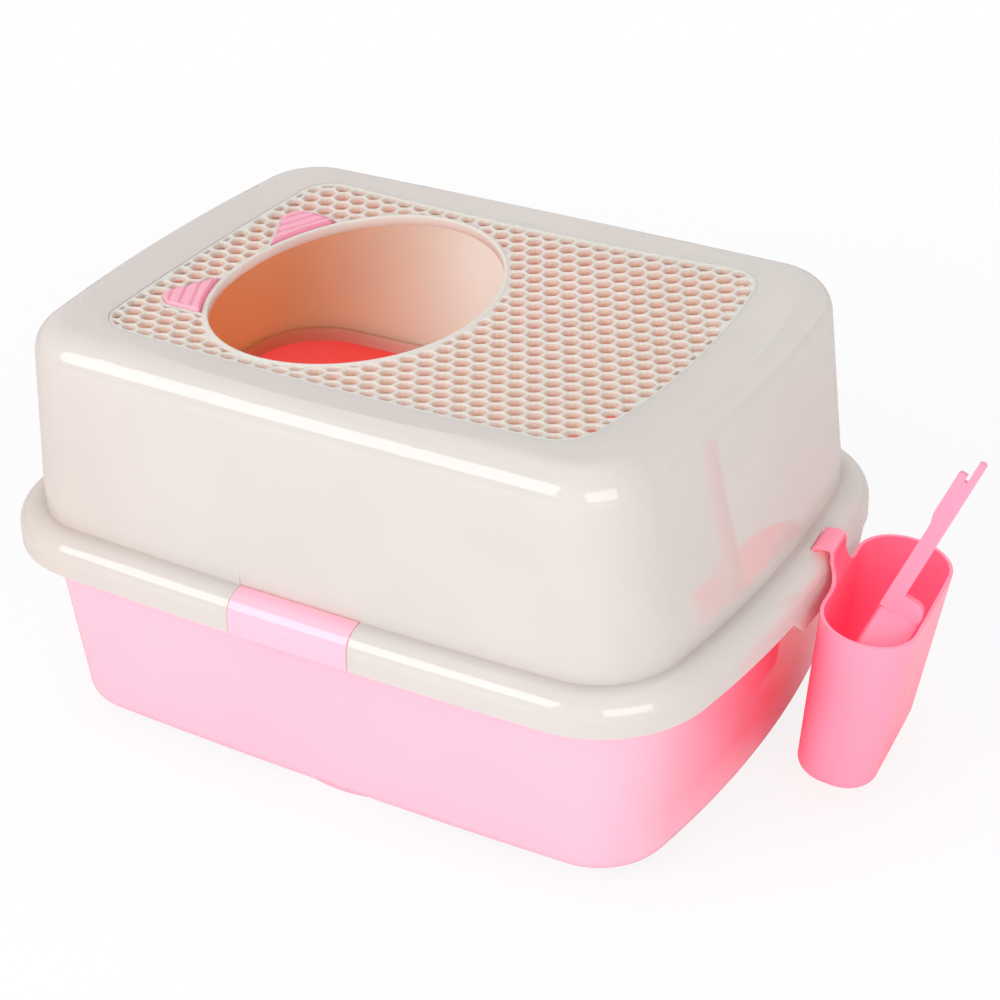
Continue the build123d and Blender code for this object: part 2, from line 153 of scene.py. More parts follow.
def inside_foot(tree, inward):
    """The inward mask below the panel's seat, and 1 for all that lies low inside the hood's wall,
    such as its rib."""
    place = add(tree, "ShaderNodeNewGeometry")
    split = add(tree, "ShaderNodeSeparateXYZ", {0: place.outputs["Position"]})
    terms = []
    for axis, half in zip("XY", WALL_HALF):
        part = add(tree, "ShaderNodeMath", {0: split.outputs[axis]}, {1: half}, operation="DIVIDE")
        part = add(tree, "ShaderNodeMath", {0: part.outputs[0]}, operation="ABSOLUTE")
        term = add(tree, "ShaderNodeMath", {0: part.outputs[0]}, {1: WALL_SQUARENESS}, operation="POWER")
        terms.append(term.outputs[0])
    reach = add(tree, "ShaderNodeMath", {0: terms[0], 1: terms[1]}, operation="ADD")
    within = add(tree, "ShaderNodeMath", {0: reach.outputs[0]}, {1: 1.0}, operation="LESS_THAN")
    low = add(tree, "ShaderNodeMath", {0: split.outputs["Z"]}, {1: RIB_TOP}, operation="LESS_THAN")
    both = add(tree, "ShaderNodeMath", {0: within.outputs[0], 1: low.outputs[0]}, operation="MULTIPLY")
    both = add(tree, "ShaderNodeMath", {0: both.outputs[0], 1: inward}, operation="MAXIMUM")
    roof = add(tree, "ShaderNodeMath", {0: split.outputs["Z"]}, {1: LEDGE_LOW}, operation="LESS_THAN")
    mask = add(tree, "ShaderNodeMath", {0: both.outputs[0], 1: roof.outputs[0]}, operation="MULTIPLY")
    return mask.outputs[0]


def ramp(tree, factor, stops):
    """Colour ramp of (position, sRGB hex) stops."""
    node = add(tree, "ShaderNodeValToRGB", {0: factor})
    bands = node.color_ramp.elements
    while len(bands) < len(stops):
        bands.new(0.5)
    for band, (position, code) in zip(bands, stops):
        band.position = position
        band.color = linear(code)
    return node.outputs["Color"]


def share_along(tree, *spans):
    """0 to 1 along each axis between two places in metres, multiplied where there are several."""
    place = add(tree, "ShaderNodeNewGeometry")
    split = add(tree, "ShaderNodeSeparateXYZ", {0: place.outputs["Position"]})
    share = None
    for axis, low, high in spans:
        part = add(
            tree, "ShaderNodeMapRange", {"Value": split.outputs[axis]}, {"From Min": low, "From Max": high}
        ).outputs["Result"]
        if share:
            part = add(tree, "ShaderNodeMath", {0: part, 1: share}, operation="MULTIPLY").outputs[0]
        share = part
    return share


def plastic_wall(name, tint_of, centre, roughness, through, gloss_coat=0.0, glow=("#FFFFFF", 0, 0)):
    """Injection moulded polypropylene: waxy gloss, faint flow marks in its tint and a fine
    mould skin that breaks up the reflections. Its thin walls let part of the light through,
    more of it seen from inside, which warms the hollow side. The glow, as tint and strength
    outside and inside, stands for light that has scattered through the walls many times. It may
    grow along the box and across it."""
    material, tree, out = blank(name)
    place = add(tree, "ShaderNodeNewGeometry").outputs["Position"]
    inward = facing_inward(tree, centre)
    flow = add(tree, "ShaderNodeTexNoise", {"Vector": place}, {"Scale": 1 / FLOW_MARK, "Detail": 2.0})
    amount = add(
        tree,
        "ShaderNodeMapRange",
        {"Value": flow.outputs["Fac"]},
        {"From Min": 0.3, "From Max": 0.7, "To Min": 0.985, "To Max": 1.015},
    )
    shade = add(
        tree,
        "ShaderNodeHueSaturation",
        {"Color": tint_of(tree, inward), "Value": amount.outputs["Result"]},
    )
    skin = add(tree, "ShaderNodeTexNoise", {"Vector": place}, {"Scale": 1 / MOULD_SKIN, "Detail": 3.0})
    sink = add(tree, "ShaderNodeTexNoise", {"Vector": place}, {"Scale": 1 / SINK_MARK, "Detail": 4.0})
    gloss = add(
        tree,
        "ShaderNodeMapRange",
        {"Value": sink.outputs["Fac"]},
        {"From Min": 0.3, "From Max": 0.7, "To Min": 0.8 * roughness, "To Max": 1.3 * roughness},
    )
    bump = add(
        tree, "ShaderNodeBump", {"Height": skin.outputs["Fac"]}, {"Strength": 0.04, "Distance": SKIN_DEPTH}
    )
    lit = add(tree, "ShaderNodeMapRange", {"Value": inward}, {"To Min": glow[1], "To Max": glow[2]})
    if len(glow) > 3:
        growth = share_along(tree, *glow[3:])
        lit = add(tree, "ShaderNodeMapRange", {"Value": growth, "To Max": lit.outputs[0]}, {"To Min": 0.0})
    shader = add(
        tree,
        "ShaderNodeBsdfPrincipled",
        {
            "Base Color": shade.outputs["Color"],
            "Roughness": gloss.outputs["Result"],
            "Normal": bump.outputs["Normal"],
            "Emission Strength": lit.outputs["Result"],
        },
        {
            "IOR": PP_IOR,
            "Coat Weight": gloss_coat,
            "Coat Roughness": 0.02,
            "Emission Color": linear(glow[0]),
        },
    )
    passing = add(tree, "ShaderNodeBsdfTranslucent", {"Color": shade.outputs["Color"]})
    share = add(
        tree, "ShaderNodeMapRange", {"Value": inward}, {"To Min": through[0], "To Max": through[1]}
    )
    wall = add(
        tree,
        "ShaderNodeMixShader",
        {0: share.outputs["Result"], 1: shader.outputs[0], 2: passing.outputs[0]},
    )
    tree.links.new(wall.outputs[0], out.inputs["Surface"])
    return material


def moulded_pp(
    name, outer, inner, centre, roughness=0.12, through=(0.3, 0.6), gloss_coat=0.0, glow=("#FFFFFF", 0, 0)
):
    """A plain moulding in one colour, with its hollow side in its own tint, which is painted light and shade
    where it differs from the outer one.
    """

    def tint(tree, inward):
        both = add(
            tree, "ShaderNodeMix", {"Factor": inward}, {6: linear(outer), 7: linear(inner)}, data_type="RGBA"
        )
        return both.outputs[2]

    return plastic_wall(name, tint, centre, roughness, through, gloss_coat, glow)


def pan_pp(name, outer, inner, beside, centre, roughness, through, gloss_coat, glow):
    """Pink moulding whose outside deepens on the end wall that the holder and its scoop shade: painted shade
    and a painted reflection of them. Its hollow side is painted red for the light that passes through the
    pink walls and the shade inside.
    """

    def tint(tree, inward):
        # Painted shade and reflection of the holder and scoop, growing towards them along the end wall and up
        # from its foot.
        share = share_along(tree, ("X", 0.19, 0.235), ("Y", -0.16, 0.02), ("Z", 0.0, 0.05))
        outside = add(
            tree, "ShaderNodeMix", {"Factor": share}, {6: linear(outer), 7: linear(beside)}, data_type="RGBA"
        )
        # The hollow side takes its painted red of light and shade.
        both = add(
            tree,
            "ShaderNodeMix",
            {"Factor": inward, 6: outside.outputs[2]},
            {7: linear(inner)},
            data_type="RGBA",
        )
        return both.outputs[2]

    return plastic_wall(name, tint, centre, roughness, through, gloss_coat, glow)


def hood_pp(name, outer, inner, end, centre, roughness, through, gloss_coat, glow):
    """Cream moulding whose hollow side is painted with light: a lighter cream for the light that its walls
    let in, deepening to orange towards the end behind the entry, where the light has passed through the most
    plastic."""

    def tint(tree, inward):
        inside_tint = ramp(tree, share_along(tree, ("X", -0.25, -0.07)), ((0.0, end), (1.0, inner)))
        both = add(
            tree,
            "ShaderNodeMix",
            {"Factor": inside_foot(tree, inward), 7: inside_tint},
            {6: linear(outer)},
            data_type="RGBA",
        )
        return both.outputs[2]

    return plastic_wall(name, tint, centre, roughness, through, gloss_coat, glow)


def panel_pp(name, rim, cell, deep):
    """Cream moulding whose cells are painted peach down their walls, for the warm light through the plastic
    and the shade deeper in the cells.
    """

    def tint(tree, inward):
        depth = add(tree, "ShaderNodeAttribute", attribute_name="depth").outputs["Fac"]
        stops = ((0.0, rim), (0.1, rim), (0.3, cell), (0.85, deep), (1.0, deep))
        return ramp(tree, depth, stops)

    return plastic_wall(name, tint, (0, 0, 0.2), 0.25, (0.3, 0.4))


def dish(x, y):
    """Height of the dished roof."""
    sag = DISH_RADIUS[0] - math.sqrt(DISH_RADIUS[0] ** 2 - x * x)
    return DISH_LOW + DISH_RADIUS[1] - math.sqrt((DISH_RADIUS[1] - sag) ** 2 - y * y)


def arc(centre, radius, start, end, steps):
    """Points of an arc as centre, unit direction and radius, ends included."""
    angles = [start + (end - start) * i / steps for i in range(steps + 1)]
    return [(centre, (math.cos(a), math.sin(a)), radius) for a in angles]


def panel_outline():
    """The panel's edge as arcs: two bowed ends, two straight sides, four round corners."""
    (half_x, half_y), bow, corner = PANEL_HALF, PANEL_BOW, PANEL_CORNER
    end = (half_y**2 + bow**2) / (2 * bow)
    cy = half_y - corner
    cx = half_x - end + math.sqrt((end - corner) ** 2 - cy * cy)
    swing = math.atan2(cy, cx - half_x + end)
    steps, corner_steps, side_steps = 44, 10, 60
    points = arc((half_x - end, 0), end, -swing, swing, steps)
    side = [cx - 2 * cx * i / side_steps for i in range(1, side_steps)]
    points += arc((cx, cy), corner, swing, math.pi / 2, corner_steps)[1:]
    points += [((x, cy), (0, 1), corner) for x in side]
    points += arc((-cx, cy), corner, math.pi / 2, math.pi - swing, corner_steps)
    points += arc((end - half_x, 0), end, math.pi - swing, math.pi + swing, steps)[1:]
    points += arc((-cx, -cy), corner, math.pi + swing, 1.5 * math.pi, corner_steps)[1:]
    points += [((-x, -cy), (0, -1), corner) for x in side]
    points += arc((cx, -cy), corner, -math.pi / 2, -swing, corner_steps)[:-1]
    return points


def spread(points, reach):
    """Plan points of a line of arcs, offset outward, or inward by no more than a part of their radius."""
    least = 0.35
    radii = [max(r + reach, least * r) for _, _, r in points]
    return [(c[0] + d[0] * far, c[1] + d[1] * far) for (c, d, _), far in zip(points, radii)]


def oval(reach, steps=180):
    """Plan points of the entry's edge, offset outward."""
    turn = 2 * math.pi / steps
    return [
        (ENTRY_X + (ENTRY_HALF[0] + reach) * math.cos(i * turn), (ENTRY_HALF[1] + reach) * math.sin(i * turn))
        for i in range(steps)
    ]


def clip(polygon, point, normal):
    """The part of a convex polygon on the side of a line that its normal points to."""
    kept = []
    for i, b in enumerate(polygon):
        a = polygon[i - 1]
        da = (a[0] - point[0]) * normal[0] + (a[1] - point[1]) * normal[1]
        db = (b[0] - point[0]) * normal[0] + (b[1] - point[1]) * normal[1]
        if (da < 0) != (db < 0):
            t = da / (da - db)
            kept.append((a[0] + (b[0] - a[0]) * t, a[1] + (b[1] - a[1]) * t))
        if db >= 0:
            kept.append(b)
    return kept


def area(polygon):
    """Area of a polygon, positive when it runs anticlockwise."""
    return sum(a[0] * b[1] - a[1] * b[0] for a, b in zip([polygon[-1], *polygon], polygon)) / 2


def normals(polygon):
    """Outward unit normal of each side of an anticlockwise polygon, from its point to the next."""
    sides = []
    for a, b in zip(polygon, [*polygon[1:], polygon[0]]):
        length = math.hypot(b[0] - a[0], b[1] - a[1])
        sides.append(((b[1] - a[1]) / length, (a[0] - b[0]) / length))
    return sides


def shrink(polygon, amount):
    """Inset of a convex polygon."""
    inside = polygon
    for point, normal in zip(polygon, normals(polygon)):
        line = (point[0] - normal[0] * amount, point[1] - normal[1] * amount)
        inside = clip(inside, line, (-normal[0], -normal[1]))
        if len(inside) < 3:
            return []
    return inside


def rounded(polygon, radius, steps=3):
    """A convex polygon with round corners, as arcs."""
    core = tidy(shrink(polygon, radius))
    while len(core) < 3:
        radius *= 0.6
        core = tidy(shrink(polygon, radius))
    sides = normals(core)
    points = []
    for i, corner in enumerate(core):
        start = math.atan2(sides[i - 1][1], sides[i - 1][0])
        turn = (math.atan2(sides[i][1], sides[i][0]) - start) % (2 * math.pi)
        points += arc(corner, radius, start, start + turn, steps)
    return points


def tidy(polygon, least=0.15):
    """A polygon without points that nearly coincide."""
    kept = [p for i, p in enumerate(polygon) if math.dist(p, polygon[i - 1]) > least]
    return kept if len(kept) > 2 and area(kept) > 0.3 else []


def ear_loop(reach, strip, side):
    """An ear's plan outline, offset outward and cut along the collar, for the +Y or the -Y side."""
    corners = [EAR_INNER, EAR_TIP, EAR_OUTER]
    if area(corners) < 0:
        corners.reverse()
    sides = normals(corners)
    tip = corners.index(EAR_TIP)
    before, after = sides[tip - 1], sides[tip]
    bend = 1 + before[0] * after[0] + before[1] * after[1]
    centre = [EAR_TIP[k] - EAR_TIP_ROUND * (before[k] + after[k]) / bend for k in (0, 1)]
    start = math.atan2(before[1], before[0])
    turn = (math.atan2(after[1], after[0]) - start) % (2 * math.pi)
    line = spread(arc(centre, EAR_TIP_ROUND, start, start + turn, EAR_STEPS), reach)
    first, last = corners[tip - 1], corners[(tip + 1) % 3]
    line = [(first[0] + before[0] * reach, first[1] + before[1] * reach), *line]
    line += [(last[0] + after[0] * reach, last[1] + after[1] * reach)]

    def outside(p):
        cut = COLLAR_WIDTH + strip
        return math.hypot((p[0] - ENTRY_X) / (ENTRY_HALF[0] + cut), p[1] / (ENTRY_HALF[1] + cut)) - 1

    ends = []
    for inner, outer in ((line[0], line[1]), (line[-1], line[-2])):
        for _ in range(40):
            middle = ((inner[0] + outer[0]) / 2, (inner[1] + outer[1]) / 2)
            inner, outer = (middle, outer) if outside(middle) < 0 else (inner, middle)
        ends.append(outer)
    line = [ends[0], *line[1:-1], ends[1]]
    cut = COLLAR_WIDTH + strip
    turns = [
        math.atan2(p[1] / (ENTRY_HALF[1] + cut), (p[0] - ENTRY_X) / (ENTRY_HALF[0] + cut))
        for p in (line[-1], line[0])
    ]
    steps = 24
    for i in range(1, steps):
        a = turns[0] + (turns[1] - turns[0]) * i / steps
        x = ENTRY_X + (ENTRY_HALF[0] + cut) * math.cos(a)
        line.append((x, (ENTRY_HALF[1] + cut) * math.sin(a)))
    if side < 0:
        line = [(x, -y) for x, y in reversed(line)]
    return line


def cut_lines():
    """Dense plan lines that bound the honeycomb: each point with the way into the field."""
    edges = [oval(COLLAR_WIDTH + CELL_STRIP, 720)]
    edges += [ear_loop(PANEL_BORDER, -6.0, side) for side in (1, -1)]
    edge = panel_outline()
    ways = [(-way[0], -way[1]) for _, way, _ in edge]
    lines = [list(zip(spread(edge, -PANEL_BORDER), ways))]
    for edge in edges:
        fine = []
        for a, b in zip(edge, [*edge[1:], edge[0]]):
            steps = max(1, int(math.dist(a, b)))
            parts = [i / steps for i in range(steps)]
            fine += [(a[0] + (b[0] - a[0]) * part, a[1] + (b[1] - a[1]) * part) for part in parts]
        lines.append(list(zip(fine, normals(fine))))
    return lines


def trimmed(cell, centre, lines):
    """What the panel's edge, the collar and the ears leave of a cell."""
    for index, line in enumerate(lines):
        point, inward = min(line, key=lambda item: math.dist(item[0], centre))
        away = (centre[0] - point[0]) * inward[0] + (centre[1] - point[1]) * inward[1]
        distance = math.dist(point, centre)
        if distance < PITCH:
            bounds = [(point, inward)]
            if index == 0:
                bounds = [item for item in line if math.dist(item[0], centre) < PITCH]
            for point, inward in bounds:
                cell = clip(cell, point, inward)
        elif away < -0.9 * distance:
            return []
        if len(cell) < 3:
            return []
    cell = tidy(cell)
    return cell if cell and area(cell) > SMALLEST_CELL else []


def cells():
    """Openings of the honeycomb as arcs: whole hexagons, and cut ones along its edges."""
    across = (PITCH - WEB) / 2
    row_step = PITCH * math.sqrt(3) / 2
    corner = across / math.cos(math.pi / 6)
    turns = [i * math.pi / 3 for i in range(6, 0, -1)]
    hexagon = [(corner * math.sin(turn), corner * math.cos(turn)) for turn in turns]
    lines = cut_lines()
    openings = []
    rows, columns = int(PANEL_HALF[1] / row_step) + 1, int(PANEL_HALF[0] / PITCH) + 1
    for row in range(-rows, rows + 1):
        for column in range(-columns, columns + 1):
            x = PHASE[0] + (column + (row % 2) / 2) * PITCH
            y = PHASE[1] + row * row_step
            cell = trimmed([(x + px, y + py) for px, py in hexagon], (x, y), lines)
            if cell:
                openings.append(rounded(cell, CELL_ROUND))
    return openings


def honeycomb_mesh():
    """The panel as one closed mesh, with round edges along every rim and cell."""
    edge = panel_outline()
    loops = [([spread(edge, reach) for reach, _ in EDGE_RINGS], EDGE_RINGS, 0.0)]
    loops.append(([oval(reach) for reach, _ in COLLAR_RINGS], COLLAR_RINGS, COLLAR_SHARE))
    for side in (1, -1):
        rings = [ear_loop(SEAT_GAP + reach, SEAT_STRIP - reach, side) for reach, _ in SEAT_RINGS]
        loops.append((rings, SEAT_RINGS, 1.0))
    seats = loops[2:]
    seat_outlines = {2, 3}
    rim = spread(edge, 0.0)
    for cell in cells():
        middle = [sum(corner[k] for corner, _, _ in cell) / len(cell) for k in (0, 1)]
        profile = DEEP_RINGS if min(math.dist(middle, point) for point in rim) > LEDGE_REACH else CELL_RINGS
        loops.append(([spread(cell, reach) for reach, _ in profile], profile, 1.0))

    mesh = bmesh.new()
    # Share of the depth down each wall, from which the panel's finish paints light and shade.
    depth = mesh.verts.layers.float.new("depth")
    plan, outlines, tops, floors, bottoms = [], [], [], [], []

    def ring_of(points, drop, share):
        ring = [mesh.verts.new((x * MM, y * MM, (dish(x, y) - drop) * MM)) for x, y in points]
        for vert in ring:
            vert[depth] = share * max(0.0, drop / PANEL_THICKNESS)
        return ring

    for loop in loops:
        rings, profile, share = loop
        made = [ring_of(points, drop, share) for points, (_, drop) in zip(rings, profile)]
        for upper, lower in zip(made, made[1:]):
            for i in range(len(upper)):
                mesh.faces.new((upper[i - 1], upper[i], lower[i], lower[i - 1]))
        outlines.append(list(range(len(plan), len(plan) + len(rings[0]))))
        plan += [Vector(point) for point in rings[0]]
        tops += made[0]
        floors += made[-1]
        bottoms += ring_of(rings[0], PANEL_THICKNESS, share) if loop in seats else made[-1]

    found = delaunay_2d_cdt(plan, [], outlines, FILL_INSIDE, SAME_POINT)
    source = [group[0] for group in found[3]]
    for triangle, holds in zip(found[2], found[5]):
        corners = [source[i] for i in triangle]
        if set(holds) == {0}:
            mesh.faces.new([tops[i] for i in corners])
            mesh.faces.new([bottoms[i] for i in reversed(corners)])
        elif set(holds) & seat_outlines:
            mesh.faces.new([floors[i] for i in corners])
            mesh.faces.new([bottoms[i] for i in reversed(corners)])
    bmesh.ops.recalc_face_normals(mesh, faces=mesh.faces)
    for face in mesh.faces:
        face.smooth = True
    data = bpy.data.meshes.new("honeycomb_panel_rounded")
    mesh.to_mesh(data)
    mesh.free()
    return data


def soften(loop, corners, reach):
    """A plan outline with some of its corners rounded off."""
    points = []
    for i, corner in enumerate(loop):
        if i not in corners:
            points.append(corner)
            continue
        ends = []
        for other in (loop[i - 1], loop[(i + 1) % len(loop)]):
            t = reach / math.dist(corner, other)
            ends.append([corner[k] + (other[k] - corner[k]) * t for k in (0, 1)])
        for t in (0.0, 0.25, 0.5, 0.75, 1.0):
            weights = ((1 - t) ** 2, 2 * t * (1 - t), t * t)
            path = (ends[0], corner, ends[1])
            points.append(tuple(sum(w * p[k] for w, p in zip(weights, path)) for k in (0, 1)))
    return points


def ear_mesh(side):
    """An ear pad with soft ribs that run along its base, as one closed mesh."""
    base = math.dist(EAR_INNER, EAR_OUTER)
    across = ((EAR_INNER[1] - EAR_OUTER[1]) / base, (EAR_OUTER[0] - EAR_INNER[0]) / base)

    def height(x, y, drop):
        reach = (x - EAR_INNER[0]) * across[0] + (abs(y) - EAR_INNER[1]) * across[1]
        groove = GROOVE_DEPTH * abs(math.cos(math.pi * reach / RIB_PITCH)) ** 8 * max(0.0, 1 - drop / 2)
        return dish(x, y) + max(EAR_ABOVE - groove - drop, -EAR_BELOW)

    def outline(reach):
        loop = ear_loop(reach, EAR_COLLAR_GAP - reach, 1)
        return soften(loop, (0, EAR_STEPS + 2), EAR_SOFTENED)

    mesh = bmesh.new()
    rings = [outline(reach) for reach, _ in EAR_RINGS]
    made = [
        [mesh.verts.new((x * MM, side * y * MM, height(x, y, drop) * MM)) for x, y in ring]
        for ring, (_, drop) in zip(rings, EAR_RINGS)
    ]
    for upper, lower in zip(made, made[1:]):
        for i in range(len(upper)):
            mesh.faces.new((upper[i - 1], upper[i], lower[i], lower[i - 1]))
    mesh.faces.new(made[-1])
    inner = outline(EAR_RINGS[0][0] - EAR_GRID_MARGIN)
    plan = [Vector(p) for p in rings[0]]
    verts = list(made[0])
    low = [min(p[k] for p in inner) for k in (0, 1)]
    high = [max(p[k] for p in inner) for k in (0, 1)]
    step = EAR_GRID
    for row in range(int((high[1] - low[1]) / step) + 1):
        for column in range(int((high[0] - low[0]) / step) + 1):
            x, y = low[0] + column * step, low[1] + row * step
            if inside(inner, x, y):
                plan.append(Vector((x, y)))
                verts.append(mesh.verts.new((x * MM, side * y * MM, height(x, y, 0) * MM)))
    found = delaunay_2d_cdt(plan, [], [list(range(len(rings[0])))], FILL_INSIDE, SAME_POINT)
    for triangle in found[2]:
        mesh.faces.new([verts[found[3][i][0]] for i in triangle])
    bmesh.ops.recalc_face_normals(mesh, faces=mesh.faces)
    for face in mesh.faces:
        face.smooth = len(face.verts) < 5
    data = bpy.data.meshes.new("ear_ribbed")
    mesh.to_mesh(data)
    mesh.free()
    return data


def inside(polygon, x, y):
    """Whether a plan point lies in a polygon."""
    odd = False
    for a, b in zip(polygon, [*polygon[1:], polygon[0]]):
        if (a[1] > y) != (b[1] > y) and x < a[0] + (b[0] - a[0]) * (y - a[1]) / (b[1] - a[1]):
            odd = not odd
    return odd


def stand_in(node, data, body, materials):
    """A finished piece that takes the place of a CAD node."""
    piece = bpy.data.objects.new(node + "_finished", data)
    bpy.context.scene.collection.objects.link(piece)
    for material in materials:
        data.materials.append(material)
    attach(piece, body)
    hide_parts(node)
    return piece


def dress(node, material, slot):
    """Gives a CAD node's own object a finish."""
    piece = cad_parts[node]
    for place in piece.material_slots:
        place.material = material
    return piece


class LitterBoxFinish(bpy.types.PropertyGroup):
    hood_tint: StringProperty(name="Hood", description="Outer tint of the hood", default="#E1DDD9")
    # Painted light: the hood's hollow side is painted a lighter cream, and orange towards its end, for light
    # that passes through its walls.
    hood_inner: StringProperty(name="Hood inside", description="Inner tint", default="#F4F0E8")
    hood_end_light: StringProperty(name="Hood end", description="Inner tint by the entry", default="#EDB07F")
    panel_rim: StringProperty(name="Panel", description="Tint of the panel", default="#F0F1EB")
    # Painted light and shade in the cells: warm light through the plastic, and deeper shade low in the cells.
    panel_cell: StringProperty(name="Cells", description="Tint inside the cells", default="#EBE0D6")
    panel_deep_shade: StringProperty(name="Deep cells", description="Tint low in the cells", default="#EAC9B8")
    pan_tint: StringProperty(name="Pan", description="Outer tint of the pan", default="#FFCFE4")
    # Painted light and shade: the pan's red inside, for light through the pink walls and the shade within.
    pan_inner: StringProperty(name="Pan inside", description="Inner tint", default="#FFA09C")
    # Painted shade and reflection of the holder on the pan's end wall.
    pan_beside_shade: StringProperty(name="Pan end", description="Tint beside the holder", default="#FF7490")
    ear_tint: StringProperty(name="Ears", description="Tint of the ears", default="#FFC6D9")
    holder_tint: StringProperty(name="Holder", description="Outer tint", default="#FFB6D0")
    # Painted shade inside the holder's cup, a deeper pink.
    holder_inner: StringProperty(name="Holder inside", description="Inner tint", default="#FFA8C0")
    scoop_tint: StringProperty(name="Scoop", description="Tint of the scoop", default="#FFB2CE")


class LitterBoxStage(bpy.types.PropertyGroup):
    camera_place: FloatVectorProperty(
        name="Camera", description="Where the camera stands", default=(0.78631, -1.20125, 1.0036),
        subtype="XYZ", unit="LENGTH",
    )
    camera_aim: FloatVectorProperty(
        name="Aim", description="What the camera looks at", default=(0.01912, 0.04219, 0.13454),
        subtype="XYZ", unit="LENGTH",
    )
    camera_roll: FloatProperty(
        name="Roll", description="Turn about the line of sight", default=-0.03595, unit="ROTATION"
    )
    lens: FloatProperty(
        name="Focal length", description="For a 36 mm sensor", default=87.13, unit="CAMERA"
    )
    key: FloatProperty(name="Key", description="Softbox at the front left", default=22.0, unit="POWER")
    fill: FloatProperty(name="Fill", description="Softbox at the right", default=18.0, unit="POWER")
    top: FloatProperty(name="Top", description="Softbox overhead", default=5.0, unit="POWER")
    sky: FloatProperty(name="Sky", description="Light from all round", default=0.66)


class LITTERBOX_OT_pan(bpy.types.Operator):
    """Finishes the pan"""

    bl_idname = "litterbox.pan"
    bl_label = "Pan"

    def execute(self, context):
        tints = context.scene.litter_box_finish
        finish = pan_pp(
            "moulded_pp_pink_pan",
            tints.pan_tint,
            tints.pan_inner,
            tints.pan_beside_shade,
            (0, 0, 0.1),
            0.05,
            (0.22, 0.6),
            0.5,
            # Painted red light glowing inside the pan.
            ("#FF5654", 0.0, 0.28),
        )
        dress("pan", finish, "pan_plastic")
        return {"FINISHED"}


class LITTERBOX_OT_hood(bpy.types.Operator):
    """Finishes the hood"""

    bl_idname = "litterbox.hood"
    bl_label = "Hood"

    def execute(self, context):
        tints = context.scene.litter_box_finish
        finish = hood_pp(
            "moulded_pp_cream_hood",
            tints.hood_tint,
            tints.hood_inner,
            tints.hood_end_light,
            (0, 0, 0.15),
            0.03,
            (0.28, 0.6),
            0.7,
            # Painted light inside the hood: none at the end behind the entry and at the front, full towards
            # the middle and the back.
            ("#F0FFFC", 0.0, 0.32, ("X", -0.25, -0.08), ("Y", -0.1, 0.08)),
        )
        dress("hood", finish, "hood_plastic")
        return {"FINISHED"}


class LITTERBOX_OT_panel(bpy.types.Operator):
    """Finishes the honeycomb panel"""

    bl_idname = "litterbox.panel"
    bl_label = "Honeycomb panel"

    def execute(self, context):
        tints = context.scene.litter_box_finish
        finish = panel_pp("moulded_pp_cream_panel", tints.panel_rim, tints.panel_cell, tints.panel_deep_shade)
        stand_in("honeycomb_panel", honeycomb_mesh(), "hood_body", [finish])
        return {"FINISHED"}


class LITTERBOX_OT_ears(bpy.types.Operator):
    """Finishes the two ear pads"""

    bl_idname = "litterbox.ears"
    bl_label = "Ears"

    def execute(self, context):
        tints = context.scene.litter_box_finish
        finish = moulded_pp("moulded_pp_pink_ears", tints.ear_tint, tints.ear_tint, (0, 0, 0.2), 0.25)
        for node, side in (("ear_back", 1), ("ear_front", -1)):
            stand_in(node, ear_mesh(side), "hood_body", [finish])
        return {"FINISHED"}


class LITTERBOX_OT_holder(bpy.types.Operator):
    """Finishes the scoop holder"""

    bl_idname = "litterbox.holder"
    bl_label = "Scoop holder"

    def execute(self, context):
        tints = context.scene.litter_box_finish
        finish = moulded_pp(
            "moulded_pp_pink_holder",
            tints.holder_tint,
            tints.holder_inner,
            (0.304, 0.053, 0.12),
            0.2,
            (0.3, 0.6),
            0.2,
            # Painted red light, faint outside the holder and strong inside it.
            ("#FF2040", 0.1, 0.66),
        )
        dress("scoop_holder", finish, "holder_plastic")
        return {"FINISHED"}


class LITTERBOX_OT_scoop(bpy.types.Operator):
    """Finishes the scoop"""

    bl_idname = "litterbox.scoop"
    bl_label = "Scoop"

    def execute(self, context):
        tints = context.scene.litter_box_finish
        finish = moulded_pp("moulded_pp_pink_scoop", tints.scoop_tint, tints.scoop_tint, (0, 0, 0), 0.25)
        dress("scoop", finish, "scoop_plastic")
        return {"FINISHED"}


def softbox(name, place, aim, width, height, power):
    """A rectangular lamp that faces a point."""
    lamp = bpy.data.lights.new(name, "AREA")
    lamp.shape = "RECTANGLE"
    lamp.size = width
    lamp.size_y = height
    lamp.energy = power
    holder = bpy.data.objects.new(name, lamp)
    holder.location = place
    holder.rotation_euler = (Vector(aim) - Vector(place)).to_track_quat("-Z", "Y").to_euler()
    bpy.context.scene.collection.objects.link(holder)
    return holder


